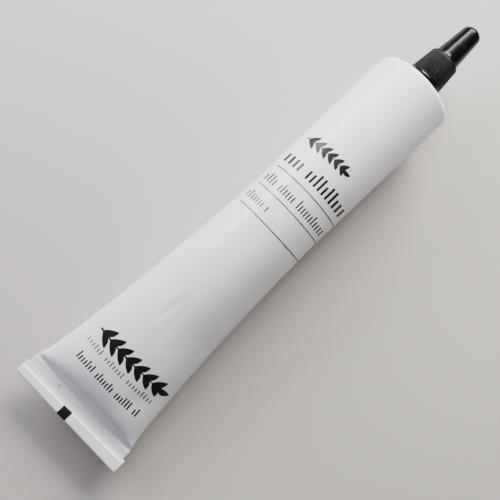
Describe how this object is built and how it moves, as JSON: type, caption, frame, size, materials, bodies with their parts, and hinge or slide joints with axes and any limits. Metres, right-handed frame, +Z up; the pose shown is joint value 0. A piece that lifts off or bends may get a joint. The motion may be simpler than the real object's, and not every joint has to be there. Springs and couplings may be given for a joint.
{
  "type": "collapsible adhesive tube",
  "caption": "Collapsible metal squeeze tube, round at the shoulder and folded flat at the tail, with a threaded nozzle and a ribbed long-nosed screw cap.",
  "frame": {"origin": "on the table that the tube lies on, under the middle of its whole length, from the folded tail to the tip of the cap, and on its centre plane", "axes": "+X along the tube from the folded tail to the cap, +Z up from the table, +Y across the tube, along the fold. The neck's axis is parallel to X, 12.5 mm above the table"},
  "size_m": [0.162, 0.041, 0.025],
  "materials": {
    "enamelled_sheet": "satin",
    "enamelled_shoulder": "satin",
    "bare_aluminium": "satin",
    "latex": "matte",
    "adhesive": "gloss",
    "liner_foam": "matte",
    "black_plastic": "satin",
    "black_ink": "satin"
  },
  "bodies": {
    "tube": {"tube_sleeve": "enamelled_sheet", "tail_fold": "enamelled_sheet", "shoulder_nozzle": "enamelled_shoulder", "end_seal": "latex", "adhesive": "adhesive"},
    "cap_seat": {"cap_liner": "liner_foam"},
    "cap": {"cap": "black_plastic"}
  },
  "joints": [
    {"name": "cap_lift", "type": "slide", "parent": "tube", "child": "cap_seat", "axis": [1, 0, 0], "range_m": [0, 0.0225]},
    {"name": "cap_turn", "type": "hinge", "parent": "cap_seat", "child": "cap", "pos_m": [0.05934, 0, 0.0125], "axis": [1, 0, 0], "range_deg": [0, 5400]}
  ],
  "couplings": [
    {"joint": "cap_turn", "follows": "cap_lift", "rad_per_m": 4188.8}
  ]
}
